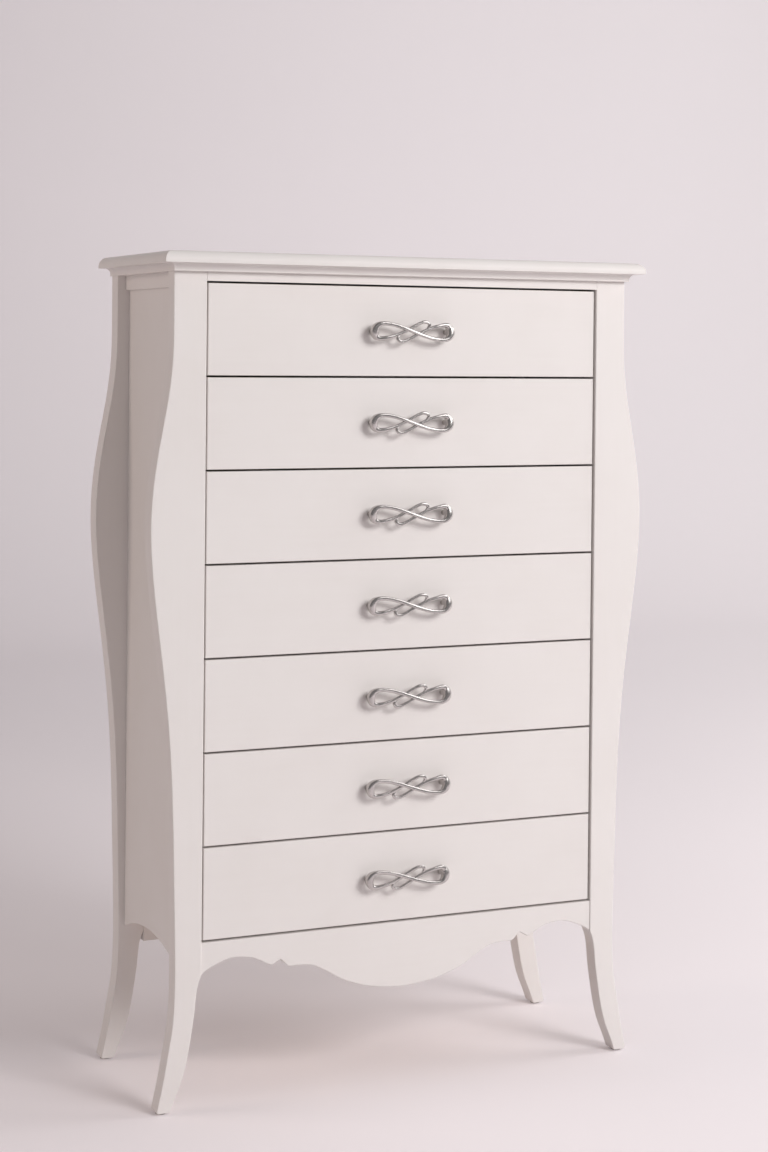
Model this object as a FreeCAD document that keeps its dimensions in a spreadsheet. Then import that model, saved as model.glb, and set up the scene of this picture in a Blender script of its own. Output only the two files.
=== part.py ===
import FreeCAD, Part
import math
import os
import Sketcher
from types import SimpleNamespace
from FreeCAD import Placement, Rotation, Vector

# A tall chest of seven drawers on four bombe legs with a moulded top and a shaped apron.
# Frame: the front faces -Y, +Z is up, and the origin lies on the floor under the middle of the whole chest.
# Y is centred between the foremost point of the handles and the rear faces of the legs.

DRAWER_COUNT = 7
RIBBON_STEPS = 3
NEAR = 1e-3

# Driving dimensions in millimetres: name, value, what it measures
SIZES = [
    ("total_height", 1298, "floor to the upper face of the top"),
    ("case_depth", 310, "front faces of the front legs to rear faces of the rear legs"),
    ("opening_width", 673, "clear width between the inner faces of the legs"),
    ("apron_top", 253.5, "floor to the upper edge of the front apron"),
    ("top_thickness", 30, "thickness of the moulded top"),
    ("top_side_overhang", 23, "nose of the top beyond the straight upper part of the legs"),
    ("top_front_overhang", 30, "nose of the top in front of the legs"),
    ("nose_radius", 15, "quarter round along the upper edge of the top"),
    ("nose_band", 3, "upright band under the quarter round"),
    ("nose_step", 11, "step back from the band to the cove"),
    ("cove_radius", 9, "hollow moulding under the nose"),
    ("leg_top_width", 52.5, "width of a leg where it is straight, under the top"),
    ("leg_bulge", 33.5, "how far a leg swells beyond its straight upper part"),
    ("leg_depth", 28, "front leg from front to rear"),
    ("rear_leg_depth", 30, "rear leg from front to rear"),
    ("foot_sweep", 48, "how far the inner edge of a leg sweeps outward down to the foot"),
    ("leg_edge_radius", 1.5, "rounding along the long edges of the legs"),
    ("foot_corner_radius", 3, "rounding of the lower corners of a foot"),
    ("pad_thickness", 3, "glide under each foot"),
    ("pad_radius", 8, "glide under each foot"),
    ("side_recess", 20, "side panel behind the straight outer face of the legs"),
    ("side_panel_thickness", 15, "side panel"),
    ("side_rail_recess", 14, "side rail behind the straight outer face of the legs"),
    ("side_rail_thickness", 20, "side rail"),
    ("side_rail_height", 23, "side rail under the top"),
    ("side_panel_low", 217, "floor to the lower corners of a side panel"),
    ("side_arch_rise", 23, "rise of the arch along the lower edge of a side panel"),
    ("front_rail_depth", 60, "rail over the top drawer, from front to rear"),
    ("apron_thickness", 20, "front apron"),
    ("apron_setback", 2, "front apron behind the faces of the legs"),
    ("apron_end_drop", 49.5, "depth of the apron where it meets the legs"),
    ("apron_middle_drop", 102.5, "depth of the apron at its middle"),
    ("apron_edge_radius", 1.5, "rounding along the shaped edge of the apron"),
    ("rear_rail_thickness", 16, "rear apron and rear top rail"),
    ("rear_apron_height", 66, "rear apron"),
    ("rear_top_rail_height", 40, "rear top rail"),
    ("back_thickness", 6, "back panel"),
    ("back_lap", 45, "how far the back panel laps down over the rear apron"),
    ("case_bottom_thickness", 8, "bottom board of the case"),
    ("case_bottom_drop", 3.5, "upper face of the bottom board under the edge of the apron"),
    ("block_length", 50, "glue block under the top"),
    ("block_width", 18, "glue block under the top"),
    ("block_height", 22, "glue block under the top"),
    ("block_inset", 10, "glue block from the nearest leg"),
    ("front_rail_height", 14, "rail over the top drawer"),
    ("front_thickness", 20, "drawer front"),
    ("drawer_setback", 3, "drawer fronts behind the faces of the legs"),
    ("front_edge_radius", 1.5, "rounding round the face of a drawer front"),
    ("drawer_gap", 3, "gap round each drawer front"),
    ("side_drop", 22.5, "upper edge of a drawer side below that of its front"),
    ("side_thickness", 12, "drawer side"),
    ("side_lift", 12, "lower edge of a drawer side above that of its front"),
    ("side_inset", 1, "outer face of a drawer side inside the end of its front"),
    ("box_rear_gap", 8, "free depth behind a drawer"),
    ("box_back_thickness", 12, "drawer back"),
    ("bottom_thickness", 4, "drawer bottom"),
    ("bottom_lift", 8, "drawer bottom above the lower edge of the sides"),
    ("bottom_tongue", 5, "how far the drawer bottom reaches into the sides"),
    ("fit_clearance", 0.2, "drawer bottom in its grooves"),
    ("runner_height", 36, "batten that carries a runner"),
    ("runner_tongue_height", 12, "runner tongue that carries a drawer"),
    ("runner_tongue_reach", 11, "runner tongue from the legs' inner faces"),
    ("runner_clearance", 0.3, "runner tongue in the groove of a drawer side"),
    ("runner_end_gap", 1, "runner tongue short of its batten at each end"),
    ("handle_reach", 23, "front of a handle from the face of its drawer"),
    ("handle_half_length", 72.5, "middle of a handle to its end"),
    ("handle_hump", 18, "middle of a handle to the top of its fold"),
    ("handle_spacing", 128, "distance between the two screws of a handle"),
    ("strand_width", 4.8, "ribbon of a handle, seen from the front"),
    ("strand_depth", 5, "ribbon of a handle, from front to rear"),
    ("strand_step", 2, "the folded ends lie behind the long strand by this"),
    ("handle_end_width", 10.6, "ribbon where it turns round the end of a handle"),
    ("handle_end_depth", 20, "ribbon where it turns round the end of a handle, from front to rear"),
    ("post_radius", 4.8, "post at each end of a handle"),
    ("post_bore_depth", 14, "blind hole for the screw in a post"),
    ("screw_radius", 2, "handle screw"),
    ("screw_reach", 10, "handle screw in its post"),
    ("screw_head_radius", 4.2, "head of a handle screw"),
    ("screw_head_height", 2.4, "head of a handle screw"),
    ("screw_thread_clearance", 0.05, "round a handle screw in its post"),
    ("screw_hole_clearance", 0.5, "round a handle screw in the drawer front"),
    ("overrun", 5, "how far a cutting piece reaches past what it cuts"),
]

# Outer edge of a leg from the foot up: share of the height under the top, share of the bulge
leg_outer_share = [
    (0.0024, 0.513), (0.0118, 0.440), (0.0394, 0.215), (0.0670, 0.030), (0.0954, -0.160),
    (0.1240, -0.262), (0.1640, -0.300), (0.2370, -0.250), (0.3270, -0.170), (0.4420, 0.037),
    (0.5270, 0.370), (0.5840, 0.651), (0.6410, 0.895), (0.6980, 1.000), (0.7405, 0.910),
    (0.7970, 0.593), (0.8530, 0.210), (0.8780, 0.090), (0.8990, 0.027), (0.9200, 0.003), (0.9450, 0.000),
]

# Inner edge of a leg from the foot up: share of the height under the top, share of the foot's sweep
leg_inner_share = [
    (0.0024, 1.000), (0.0180, 0.850), (0.0394, 0.620), (0.0670, 0.430), (0.0954, 0.300),
    (0.1240, 0.200), (0.1520, 0.095), (0.1609, 0.000),
]

# Shaped edge of the apron from the leg to the middle: share of half the width, share of the middle's depth.
# It runs in four curves: an arch, the two sides of a pointed notch, and the sweep down to the middle.
apron_arch_share = [
    (1.000, 0.483), (0.970, 0.405), (0.927, 0.342), (0.890, 0.298), (0.845, 0.268),
    (0.800, 0.275), (0.757, 0.301), (0.728, 0.336), (0.698, 0.389), (0.670, 0.433), (0.656, 0.446),
]
apron_notch_outer_share = [(0.656, 0.446), (0.640, 0.412), (0.618, 0.374)]
apron_notch_inner_share = [(0.618, 0.374), (0.598, 0.425), (0.582, 0.476), (0.568, 0.494)]
apron_sweep_share = [
    (0.568, 0.494), (0.530, 0.491), (0.490, 0.500), (0.452, 0.525), (0.416, 0.580), (0.371, 0.664),
    (0.327, 0.752), (0.282, 0.822), (0.240, 0.872), (0.184, 0.928), (0.119, 0.966), (0.055, 0.990),
    (0.000, 1.000),
]

# Line of a handle's ribbon: share of the half length, share of the hump's height, share of the ribbon's
# swelling to its full width at the end. The long strand runs from the middle to the right end.
strand_share = [
    (0.000, 0.000, -0.05), (0.221, -0.300, 0.00), (0.441, -0.556, 0.02), (0.634, -0.678, 0.06),
    (0.780, -0.661, 0.25), (0.892, -0.417, 0.72), (0.927, 0.000, 1.00),
]
# The folded strand runs from the right end back over the middle and turns up at the lower left
fold_share = [
    (0.927, 0.000, 1.00), (0.895, 0.411, 0.72), (0.786, 0.606, 0.25), (0.621, 0.533, 0.06),
    (0.428, 0.339, 0.02), (0.248, 0.056, 0.00), (0.091, -0.244, 0.00), (-0.014, -0.478, 0.00),
    (-0.143, -0.722, 0.00), (-0.243, -0.856, 0.02), (-0.334, -0.817, 0.02), (-0.378, -0.622, 0.00),
    (-0.354, -0.433, -0.12), (-0.306, -0.289, -0.28),
]


class Size:
    """A length from the sheet, kept as its value and as the expression that binds a property to it."""

    def __init__(self, value, text):
        self.value = value
        self.text = text

    def __float__(self):
        return float(self.value)

    def __add__(self, other):
        return Size(self.value + other.value, f"({self.text} + {other.text})")

    def __sub__(self, other):
        return Size(self.value - other.value, f"({self.text} - {other.text})")

    def __neg__(self):
        return Size(-self.value, f"(-1 * {self.text})")

    def __mul__(self, other):
        if isinstance(other, Size):
            return Size(self.value * other.value, f"({self.text} * {other.text})")
        return Size(self.value * other, f"({self.text} * {other})")

    def __truediv__(self, other):
        if isinstance(other, Size):
            return Size(self.value / other.value, f"({self.text} / {other.text})")
        return Size(self.value / other, f"({self.text} / {other})")


def larger(first, second):
    """The larger of two lengths."""
    return Size(max(first.value, second.value), f"max({first.text}; {second.text})")


doc = FreeCAD.newDocument("chest_of_drawers")
sheet = doc.addObject("Spreadsheet::Sheet", "Sizes")
for row, (name, value, meaning) in enumerate(SIZES, start=1):
    sheet.set(f"A{row}", meaning)
    sheet.set(f"B{row}", str(value))
    sheet.setAlias(f"B{row}", name)
doc.recompute()
mm = SimpleNamespace(**{name: Size(sheet.get(name), f"Sizes.{name}") for name, value, meaning in SIZES})

# Main planes of the chest
front = (larger(mm.top_front_overhang, mm.handle_reach - mm.drawer_setback) - mm.case_depth) / 2
rear = front + mm.case_depth
drawer_face = front + mm.drawer_setback
behind_front_legs = front + mm.leg_depth
before_rear_legs = rear - mm.rear_leg_depth
under_top = mm.total_height - mm.top_thickness
leg_inner = mm.opening_width / 2
leg_outer = leg_inner + mm.leg_top_width
side_face = leg_outer - mm.side_recess
side_inner = side_face - mm.side_panel_thickness
rail_face = leg_outer - mm.side_rail_recess
rail_low = under_top - mm.side_rail_height
opening_top = under_top - mm.front_rail_height
drawer_pitch = (opening_top - mm.apron_top - mm.drawer_gap) / DRAWER_COUNT
front_height = drawer_pitch - mm.drawer_gap
side_height = front_height - mm.side_lift - mm.side_drop
foot_inner = leg_inner + mm.foot_sweep
foot_outer = leg_outer + mm.leg_bulge * leg_outer_share[0][1]

nodes = []


def keep(piece, label):
    """Names a finished piece and puts it on the list of sub-parts."""
    piece.Label = label
    nodes.append(piece)
    return piece


def bind(thing, **sizes):
    """Ties properties of an object to the sheet. A double underscore in a name stands for a dot."""
    for name, size in sizes.items():
        thing.setExpression(name.replace("__", "."), size.text)


def board(label, x, y, z):
    """A rectangular board between two places along each axis."""
    box = doc.addObject("Part::Box", label)
    bind(box, Length=x[1] - x[0], Width=y[1] - y[0], Height=z[1] - z[0])
    bind(box, Placement__Base__x=x[0], Placement__Base__y=y[0], Placement__Base__z=z[0])
    return box


def rod(label, radius, length, start, axis):
    """A cylinder from a start point along +X, +Y or +Z."""
    turn = {"x": Rotation(Vector(0, 1, 0), 90), "y": Rotation(Vector(1, 0, 0), -90), "z": Rotation()}
    cylinder = doc.addObject("Part::Cylinder", label)
    cylinder.Placement = Placement(Vector(), turn[axis])
    bind(cylinder, Radius=radius, Height=length)
    bind(cylinder, Placement__Base__x=start[0], Placement__Base__y=start[1], Placement__Base__z=start[2])
    return cylinder


def cut(label, base, *tools):
    """What is left of a piece when others are cut out of it, one after the other."""
    for number, tool in enumerate(tools, start=1):
        left = doc.addObject("Part::Cut", f"{label}_cut_{number}")
        left.Base = base
        left.Tool = tool
        base = left
    return base


def fuse(label, first, second):
    """One solid made of two."""
    joined = doc.addObject("Part::Fuse", label)
    joined.Base = first
    joined.Tool = second
    return joined


def group(label, pieces):
    """Separate solids of one kind that share a name."""
    several = doc.addObject("Part::Compound", label)
    several.Links = pieces
    return several


def new_body(label, x=None, y=None, z=None):
    """An empty body whose origin is placed by the sheet."""
    body = doc.addObject("PartDesign::Body", label)
    for axis, place in (("x", x), ("y", y), ("z", z)):
        if place is not None:
            bind(body, **{f"Placement__Base__{axis}": place})
    return body


def sketch_on(body, role, name):
    """A sketch on one of the body's own origin planes."""
    plane = next(feature for feature in body.Origin.OriginFeatures if feature.Role == role)
    sketch = body.newObject("Sketcher::SketchObject", name)
    sketch.AttachmentSupport = [(plane, "")]
    sketch.MapMode = "FlatFace"
    return sketch


def tie(sketch, kind, first, second, size):
    """A distance between two sketch points, tied to the sheet. A point is (geometry, position)."""
    index = sketch.addConstraint(Sketcher.Constraint(kind, *first, *second, float(size)))
    sketch.setExpression(f"Constraints[{index}]", size.text)


def rectangle(sketch, width, height):
    """A rectangle from the sketch's origin, with its two sides tied to the sheet."""
    across = Vector(float(width), 0, 0)
    upward = Vector(0, float(height), 0)
    corners = [Vector(), across, across + upward, upward]
    for number, corner in enumerate(corners):
        sketch.addGeometry(Part.LineSegment(corner, corners[(number + 1) % len(corners)]), False)
    for number in range(len(corners)):
        following = (number + 1) % len(corners)
        sketch.addConstraint(Sketcher.Constraint("Coincident", number, 2, following, 1))
    for number, direction in enumerate(("Horizontal", "Vertical", "Horizontal", "Vertical")):
        sketch.addConstraint(Sketcher.Constraint(direction, number))
    sketch.addConstraint(Sketcher.Constraint("Coincident", 0, 1, -1, 1))
    tie(sketch, "DistanceX", (0, 1), (0, 2), width)
    tie(sketch, "DistanceY", (1, 1), (1, 2), height)


def circle(sketch, radius, x, y):
    """A circle whose radius and centre are tied to the sheet."""
    centre = Vector(float(x), float(y), 0)
    index = sketch.addGeometry(Part.Circle(centre, Vector(0, 0, 1), float(radius)), False)
    number = sketch.addConstraint(Sketcher.Constraint("Radius", index, float(radius)))
    sketch.setExpression(f"Constraints[{number}]", radius.text)
    tie(sketch, "DistanceX", (-1, 1), (index, 3), x)
    tie(sketch, "DistanceY", (-1, 1), (index, 3), y)


def pad(body, sketch, thickness):
    """Thickens a sketch on the XZ plane towards the rear."""
    feature = body.newObject("PartDesign::Pad", f"{body.Name}_pad")
    feature.Profile = sketch
    feature.Reversed = True
    bind(feature, Length=thickness)
    sketch.Visibility = False
    doc.recompute()
    return feature


def fillet(body, base, edges, radius):
    """Rounds the named edges of the body's last feature."""
    feature = body.newObject("PartDesign::Fillet", f"{body.Name}_fillet")
    feature.Base = (base, edges)
    bind(feature, Radius=radius)
    doc.recompute()
    return feature


def edges_where(feature, wanted):
    """Names of the edges whose bounding box passes a test."""
    edges = enumerate(feature.Shape.Edges, start=1)
    return [f"Edge{number}" for number, edge in edges if wanted(edge.BoundBox)]


def smooth(points):
    """A smooth curve through points."""
    curve = Part.BSplineCurve()
    curve.interpolate(points)
    return curve


def line(first, second):
    return Part.LineSegment(first, second)


def make_leg(label, hand, near, depth):
    """A leg sawn from a plank: straight under the top, swollen above the middle, swept out below."""
    height = float(under_top)
    bulge = float(mm.leg_bulge)
    sweep = float(mm.foot_sweep)
    outer = [Vector(hand * (float(leg_outer) + bulge * out), height * up, 0) for up, out in leg_outer_share]
    inner = [Vector(hand * (float(leg_inner) + sweep * out), height * up, 0) for up, out in leg_inner_share]
    outer[0].y = inner[0].y = float(mm.pad_thickness)
    outer_top = Vector(hand * float(leg_outer), height, 0)
    inner_top = Vector(hand * float(leg_inner), height, 0)
    body = new_body(label, y=near)
    sketch = sketch_on(body, "XZ_Plane", f"{label}_outline")
    outline = [
        smooth(outer),
        line(outer[-1], outer_top),
        line(outer_top, inner_top),
        line(inner_top, inner[-1]),
        smooth(inner),
        line(inner[0], outer[0]),
    ]
    sketch.addGeometry(outline, False)
    block = pad(body, sketch, depth)
    low = float(mm.pad_thickness)
    corners = edges_where(block, lambda box: box.ZMax - low < NEAR and box.XMax - box.XMin < NEAR)
    rounded = fillet(body, block, corners, mm.foot_corner_radius)
    long_edges = edges_where(rounded, lambda box: box.YMax - box.YMin < NEAR and box.ZMin < height - NEAR)
    fillet(body, rounded, long_edges, mm.leg_edge_radius)
    return keep(body, label)


def make_apron():
    """The front apron: two arches, a pointed notch on each side, and a deep sweep to the middle."""
    half = float(leg_inner)
    upper = float(mm.apron_top)
    depth = float(mm.apron_middle_drop)
    end_share = float(mm.apron_end_drop) / depth
    body = new_body("front_apron", y=front + mm.apron_setback)
    sketch = sketch_on(body, "XZ_Plane", "front_apron_outline")
    sides = []
    for hand in (1, -1):
        tables = (apron_arch_share, apron_notch_outer_share, apron_notch_inner_share, apron_sweep_share)
        curves = []
        for table in tables:
            curves.append([Vector(hand * half * out, upper - depth * down, 0) for out, down in table])
        curves[0][0].y = upper - depth * end_share
        sides.append(curves)
        outline = [smooth(points) for points in curves[:-1]]
        outline.append(line(curves[0][0], Vector(hand * half, upper, 0)))
        sketch.addGeometry(outline, False)
    right_sweep, left_sweep = sides[0][-1], sides[1][-1]
    sweep = smooth(right_sweep + left_sweep[-2::-1])
    sketch.addGeometry([sweep, line(Vector(-half, upper, 0), Vector(half, upper, 0))], False)
    block = pad(body, sketch, mm.apron_thickness)
    shaped = edges_where(
        block,
        lambda box: box.YMax < NEAR and box.ZMax < upper - NEAR and box.XMax - box.XMin > NEAR,
    )
    fillet(body, block, shaped, mm.apron_edge_radius)
    return keep(body, "front_apron")


def moulding(edge, inward, low):
    """The moulded edge of the top, from its underside up. edge is the nose, and inward is +1 or -1.
    Gives the curves in a sketch's plane, and their first and last points."""
    step = float(mm.nose_step)
    cove = float(mm.cove_radius)
    nose = float(mm.nose_radius)
    diagonal = math.sqrt(0.5)
    high = low + float(mm.top_thickness)
    brow = Vector(edge, high - nose, 0)
    shoulder = Vector(edge, brow.y - float(mm.nose_band), 0)
    lip = Vector(edge + inward * step, shoulder.y, 0)
    neck = Vector(lip.x + inward * cove, lip.y - cove, 0)
    foot = Vector(neck.x, low, 0)
    rim = Vector(edge + inward * nose, high, 0)
    cove_middle = Vector(neck.x - inward * cove * (1 - diagonal), neck.y + cove * diagonal, 0)
    nose_middle = Vector(rim.x - inward * nose * diagonal, brow.y + nose * diagonal, 0)
    curves = [
        line(foot, neck),
        Part.Arc(neck, cove_middle, lip),
        line(lip, shoulder),
        line(shoulder, brow),
        Part.Arc(brow, nose_middle, rim),
    ]
    return curves, foot, rim


def section(name, turn, outline, direction, length, start):
    """A prism: a closed outline in a plane, drawn out along a direction."""
    sketch = doc.addObject("Sketcher::SketchObject", name)
    sketch.addGeometry(outline, False)
    sketch.Placement = Placement(Vector(), turn)
    axis = "xyz"[[abs(part) for part in direction].index(1)]
    bind(sketch, **{f"Placement__Base__{axis}": start})
    prism = doc.addObject("Part::Extrusion", f"{name}_prism")
    prism.Base = sketch
    prism.DirMode = "Custom"
    prism.Dir = direction
    prism.Solid = True
    bind(prism, LengthFwd=length)
    return prism


def make_top():
    """The top board: moulded along its front and two ends, with mitred corners and a square rear edge."""
    low = float(under_top)
    half = leg_outer + mm.top_side_overhang
    nose = front - mm.top_front_overhang
    right, right_foot, right_rim = moulding(float(half), -1, low)
    left, left_foot, left_rim = moulding(-float(half), 1, low)
    across = right + left + [line(left_foot, right_foot), line(left_rim, right_rim)]
    near, near_foot, near_rim = moulding(float(nose), 1, low)
    rear_low = Vector(float(rear), near_foot.y, 0)
    rear_high = Vector(float(rear), near_rim.y, 0)
    along = near + [line(near_foot, rear_low), line(rear_low, rear_high), line(rear_high, near_rim)]
    upright = Rotation(Vector(1, 0, 0), 90)
    ends = section("top_across", upright, across, Vector(0, 1, 0), rear - nose, nose)
    sideways = Rotation(Vector(1, 1, 1), 120)
    face = section("top_along", sideways, along, Vector(1, 0, 0), half * 2, -half)
    top = doc.addObject("Part::Common", "top_board")
    top.Base = ends
    top.Tool = face
    return keep(top, "top_board")


def make_side(label, hand):
    """A side: a panel with an arched lower edge between the legs, and a thicker rail above it."""
    spans = [(side_inner, side_face), (rail_face - mm.side_rail_thickness, rail_face)]
    if hand < 0:
        spans = [(-far, -near) for near, far in spans]
    along = (behind_front_legs, before_rear_legs)
    panel = board(f"{label}_side_blank", spans[0], along, (mm.side_panel_low, rail_low))
    chord = before_rear_legs - behind_front_legs
    radius = chord * chord / mm.side_arch_rise / 8 + mm.side_arch_rise / 2
    arch_top = mm.side_panel_low + mm.side_arch_rise
    centre = (spans[0][0] - mm.overrun, behind_front_legs + chord / 2, arch_top - radius)
    arch = rod(f"{label}_side_arch", radius, mm.side_panel_thickness + mm.overrun * 2, centre, "x")
    keep(cut(f"{label}_side_panel", panel, arch), f"{label}_side_panel")
    keep(board(f"{label}_side_rail", spans[1], along, (rail_low, under_top)), f"{label}_side_rail")


def make_carcass():
    """The boards that tie the legs and sides together."""
    across = (-leg_inner, leg_inner)
    rail_rear = front + mm.front_rail_depth
    keep(board("front_top_rail", across, (front, rail_rear), (opening_top, under_top)), "front_top_rail")
    rear_rail_back = before_rear_legs + mm.rear_rail_thickness
    rear_rail = (before_rear_legs, rear_rail_back)
    apron_span = (mm.apron_top - mm.rear_apron_height, mm.apron_top)
    keep(board("rear_apron", across, rear_rail, apron_span), "rear_apron")
    top_span = (under_top - mm.rear_top_rail_height, under_top)
    keep(board("rear_top_rail", across, rear_rail, top_span), "rear_top_rail")
    back_span = (rear_rail_back, rear_rail_back + mm.back_thickness)
    keep(board("back_panel", across, back_span, (mm.apron_top - mm.back_lap, under_top)), "back_panel")
    bottom_high = mm.apron_top - mm.case_bottom_drop
    bottom_span = (bottom_high - mm.case_bottom_thickness, bottom_high)
    apron_rear = front + mm.apron_setback + mm.apron_thickness
    middle = board("case_bottom_middle", across, (apron_rear, before_rear_legs), bottom_span)
    between_legs = (behind_front_legs, before_rear_legs)
    wide = board("case_bottom_wide", (-side_inner, side_inner), between_legs, bottom_span)
    keep(fuse("case_bottom", middle, wide), "case_bottom")
    blocks = []
    block_face = rail_face - mm.side_rail_thickness
    for hand in (1, -1):
        near = behind_front_legs + mm.block_inset
        far = before_rear_legs - mm.block_inset - mm.block_length
        for start in (near, far):
            span = (block_face - mm.block_width, block_face)
            if hand < 0:
                span = (-block_face, mm.block_width - block_face)
            depth = (start, start + mm.block_length)
            height = (under_top - mm.block_height, under_top)
            blocks.append(board(f"glue_block_{len(blocks) + 1}", span, depth, height))
    keep(group("glue_blocks", blocks), "glue_blocks")


def make_pads():
    """A round glide under each foot."""
    middle = (foot_inner + foot_outer) / 2
    floor = mm.pad_thickness * 0
    places = [front + mm.leg_depth / 2, rear - mm.rear_leg_depth / 2]
    pads = []
    for x in (middle, -middle):
        for y in places:
            pads.append(rod(f"pad_{len(pads) + 1}", mm.pad_radius, mm.pad_thickness, (x, y, floor), "z"))
    keep(group("foot_pads", pads), "foot_pads")


def drawer_low(number):
    """Lower edge of a drawer front. Drawer 1 is the top one."""
    return mm.apron_top + mm.drawer_gap + drawer_pitch * (DRAWER_COUNT - number)


def runner_middle(number):
    """Height of the middle of a drawer's runners."""
    return drawer_low(number) + mm.side_lift + side_height / 2


def make_runners():
    """A batten on each side for every drawer, between the legs, with a tongue that carries the drawer."""
    runners = []
    for number in range(1, DRAWER_COUNT + 1):
        middle = runner_middle(number)
        batten_height = (middle - mm.runner_height / 2, middle + mm.runner_height / 2)
        tongue_height = (middle - mm.runner_tongue_height / 2, middle + mm.runner_tongue_height / 2)
        along = (behind_front_legs, before_rear_legs)
        tongue_along = (along[0] + mm.runner_end_gap, along[1] - mm.runner_end_gap)
        for hand in ("left", "right"):
            batten = (leg_inner, side_inner)
            tongue = (leg_inner - mm.runner_tongue_reach, leg_inner)
            if hand == "left":
                batten = (-side_inner, -leg_inner)
                tongue = (-leg_inner, mm.runner_tongue_reach - leg_inner)
            name = f"runner_{number}_{hand}"
            carrier = board(f"{name}_batten", batten, along, batten_height)
            rib = board(f"{name}_tongue", tongue, tongue_along, tongue_height)
            runners.append(fuse(name, carrier, rib))
    keep(group("drawer_runners", runners), "drawer_runners")


def make_drawer_front(number):
    """A drawer front: a rounded board with two holes for the handle's screws."""
    label = f"drawer_{number}_front"
    half_width = leg_inner - mm.drawer_gap
    body = new_body(label, x=-half_width, y=drawer_face, z=drawer_low(number))
    outline = sketch_on(body, "XZ_Plane", f"{label}_outline")
    rectangle(outline, half_width * 2, front_height)
    block = pad(body, outline, mm.front_thickness)
    holes = sketch_on(body, "XZ_Plane", f"{label}_holes")
    for x in (half_width - mm.handle_spacing / 2, half_width + mm.handle_spacing / 2):
        circle(holes, mm.screw_radius + mm.screw_hole_clearance, x, front_height / 2)
    pocket = body.newObject("PartDesign::Pocket", f"{label}_pocket")
    pocket.Profile = holes
    pocket.Type = "ThroughAll"
    holes.Visibility = False
    doc.recompute()
    if pocket.Shape.Volume >= block.Shape.Volume:
        raise RuntimeError(f"the holes of {label} cut nothing")
    thickness = float(mm.front_thickness)
    face_edges = edges_where(pocket, lambda box: box.YMax < NEAR and box.DiagonalLength > thickness)
    fillet(body, pocket, face_edges, mm.front_edge_radius)
    return keep(body, label)


def make_drawer_box(number):
    """The box behind a drawer front: two grooved sides, a back and a thin bottom."""
    name = f"drawer_{number}"
    low = drawer_low(number) + mm.side_lift
    outer = leg_inner - mm.drawer_gap - mm.side_inset
    inner = outer - mm.side_thickness
    near = drawer_face + mm.front_thickness
    far = before_rear_legs - mm.box_rear_gap
    middle = runner_middle(number)
    clear = mm.runner_clearance
    tongue = (middle - mm.runner_tongue_height / 2 - clear, middle + mm.runner_tongue_height / 2 + clear)
    bottom_low = low + mm.bottom_lift
    bottom_high = bottom_low + mm.bottom_thickness
    slot = (bottom_low - mm.fit_clearance, bottom_high + mm.fit_clearance)
    groove_floor = leg_inner - mm.runner_tongue_reach - clear
    slot_floor = inner + mm.bottom_tongue + mm.fit_clearance
    past = (near - mm.overrun, far + mm.overrun)
    sides = []
    for hand in ("left", "right"):
        spans = [(inner, outer), (groove_floor, outer + mm.overrun), (inner - mm.overrun, slot_floor)]
        if hand == "left":
            spans = [(-high_x, -low_x) for low_x, high_x in spans]
        side, groove, slit = spans
        blank = board(f"{name}_{hand}_blank", side, (near, far), (low, low + side_height))
        runner_groove = board(f"{name}_{hand}_groove", groove, past, tongue)
        bottom_groove = board(f"{name}_{hand}_slot", slit, past, slot)
        sides.append(cut(f"{name}_{hand}_side", blank, runner_groove, bottom_groove))
    keep(group(f"{name}_sides", sides), f"{name}_sides")
    back_depth = (far - mm.box_back_thickness, far)
    back = board(f"{name}_back", (-inner, inner), back_depth, (slot[1], low + side_height))
    keep(back, f"{name}_back")
    reach = inner + mm.bottom_tongue
    bottom = board(f"{name}_bottom", (-reach, reach), (near, far), (bottom_low, bottom_high))
    keep(bottom, f"{name}_bottom")


def ribbon_lines():
    """The two edges of the handle's ribbon from one tip to the other, as smooth curves, and pairs of points
    on them: at the left tip, before, at and after the left turn and the right turn, and at the right tip."""
    half_length = float(mm.handle_half_length)
    hump = float(mm.handle_hump)
    narrow = float(mm.strand_width)
    swell = float(mm.handle_end_width) - narrow
    right_half = strand_share + fold_share[1:]
    table = [(-along, -up, share) for along, up, share in reversed(right_half[1:])] + right_half
    middle = smooth([Vector(half_length * along, 0, hump * up) for along, up, share in table])
    knots = middle.getKnots()
    edges = ([], [])
    for number in range((len(table) - 1) * RIBBON_STEPS + 1):
        span = min(number // RIBBON_STEPS, len(table) - 2)
        part = number / RIBBON_STEPS - span
        where = knots[span] + (knots[span + 1] - knots[span]) * part
        share = table[span][2] + (table[span + 1][2] - table[span][2]) * part
        along = middle.tangent(where)[0]
        across = Vector(-along.z, 0, along.x) * ((narrow + swell * share) / 2)
        edges[0].append(middle.value(where) + across)
        edges[1].append(middle.value(where) - across)
    right_turn = len(right_half) + len(strand_share) - 2
    left_turn = len(right_half) - len(strand_share)
    stations = [0, left_turn - 1, left_turn, left_turn + 1]
    stations += [right_turn - 1, right_turn, right_turn + 1, len(table) - 1]
    marks = [[points[station * RIBBON_STEPS] for points in edges] for station in stations]
    return [smooth(points) for points in edges], marks


def band(curves, first, last, near, depth):
    """A flat band of the handle between two marks of its ribbon, from its front face to the rear."""
    edges = []
    for curve, start, end in zip(curves, first, last):
        piece = curve.copy()
        piece.segment(curve.parameter(start), curve.parameter(end))
        edges.append(piece.toShape())
    upper, lower = edges
    edges.append(Part.makeLine(upper.valueAt(upper.FirstParameter), lower.valueAt(lower.FirstParameter)))
    edges.append(Part.makeLine(upper.valueAt(upper.LastParameter), lower.valueAt(lower.LastParameter)))
    face = Part.Face(Part.Wire(Part.sortEdges(edges)[0]))
    face.translate(Vector(0, near, 0))
    return face.extrude(Vector(0, float(depth), 0))


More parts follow.
